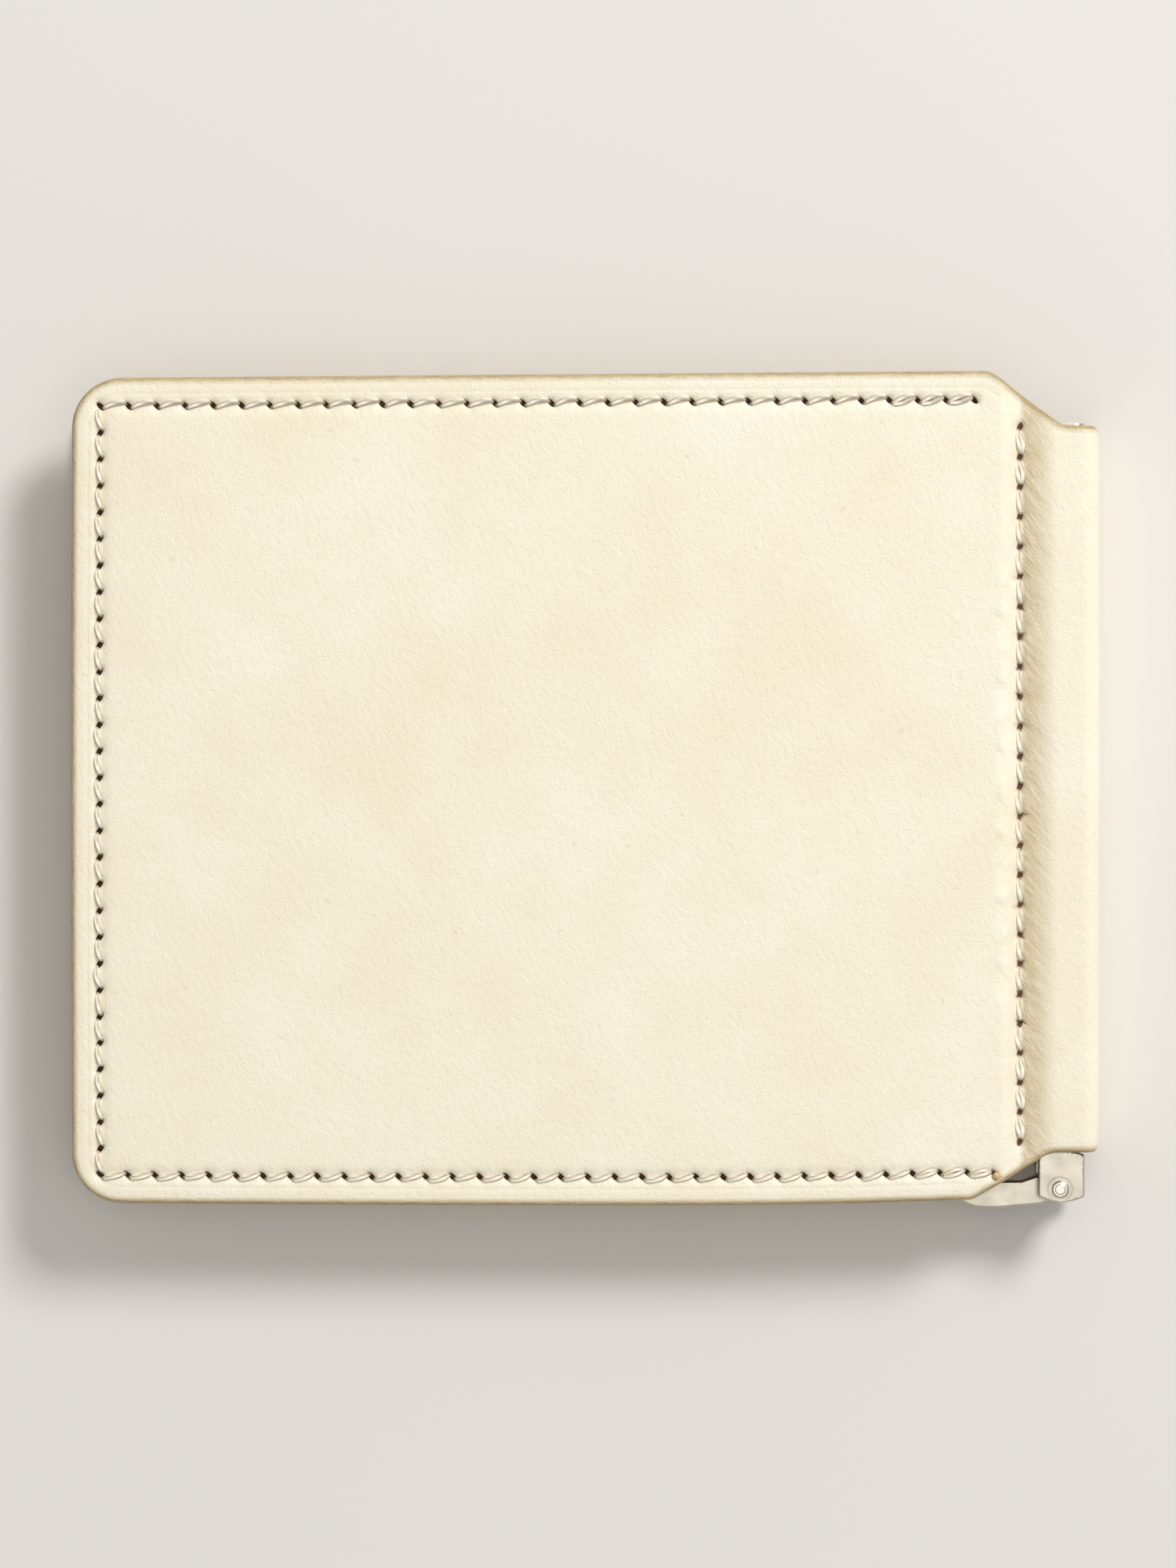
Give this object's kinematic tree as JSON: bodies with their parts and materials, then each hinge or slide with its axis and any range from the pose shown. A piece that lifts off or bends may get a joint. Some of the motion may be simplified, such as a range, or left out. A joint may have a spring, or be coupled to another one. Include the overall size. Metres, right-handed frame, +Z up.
{
  "type": "bifold money clip wallet",
  "caption": "Bifold leather wallet, closed, with card pockets inside and a sprung metal clip arm that swings out of the spine to hold banknotes.",
  "frame": {"origin": "centre of the base of the closed wallet's bounding box", "axes": "+X across the panels towards the fold, +Y along the fold towards the wallet's top edge, +Z up, out of the front panel"},
  "size_m": [0.1084, 0.0878, 0.0112],
  "materials": {
    "outer_leather": "natural vegetable-tanned, waxed",
    "lining_suede": "suede",
    "pocket_leather": "thin vegetable-tanned",
    "liner_leather": "thin vegetable-tanned",
    "thread": "waxed linen",
    "nickel_plate": "satin nickel plate",
    "rivet_steel": "bright nickel plate, peened",
    "spring_steel": "blued spring steel"
  },
  "bodies": {
    "back_panel": {"back_cover": "outer_leather", "back_lining": "lining_suede", "back_upper_pocket": "pocket_leather", "back_middle_pocket": "pocket_leather", "back_lower_pocket": "pocket_leather", "back_liner_wing": "liner_leather", "back_perimeter_thread": "thread", "back_spine_thread": "thread"},
    "spine": {"spine_cover": "outer_leather", "spine_liner": "liner_leather", "spine_rail": "nickel_plate", "pivot_rivet": "rivet_steel", "leaf_spring": "spring_steel", "spring_rivets": "rivet_steel"},
    "front_panel": {"front_cover": "outer_leather", "front_lining": "lining_suede", "front_upper_pocket": "pocket_leather", "front_middle_pocket": "pocket_leather", "front_lower_pocket": "pocket_leather", "front_liner_wing": "liner_leather", "front_perimeter_thread": "thread", "front_spine_thread": "thread"},
    "clip_arm": {"clip_arm": "nickel_plate"}
  },
  "joints": [
    {"name": "back_fold", "type": "hinge", "parent": "back_panel", "child": "spine", "pos_m": [0.0487, 0, 0.0005], "axis": [0, 1, 0], "range_deg": [0, 90]},
    {"name": "front_fold", "type": "hinge", "parent": "spine", "child": "front_panel", "pos_m": [0.0487, 0, 0.0107], "axis": [0, 1, 0], "range_deg": [0, 90]},
    {"name": "arm_pivot", "type": "hinge", "parent": "spine", "child": "clip_arm", "pos_m": [0.05, -0.04175, 0.0056], "axis": [0, 0, 1], "range_deg": [0, 90], "stiffness_Nm_per_rad": 0.05, "springref_deg": -17.19}
  ]
}
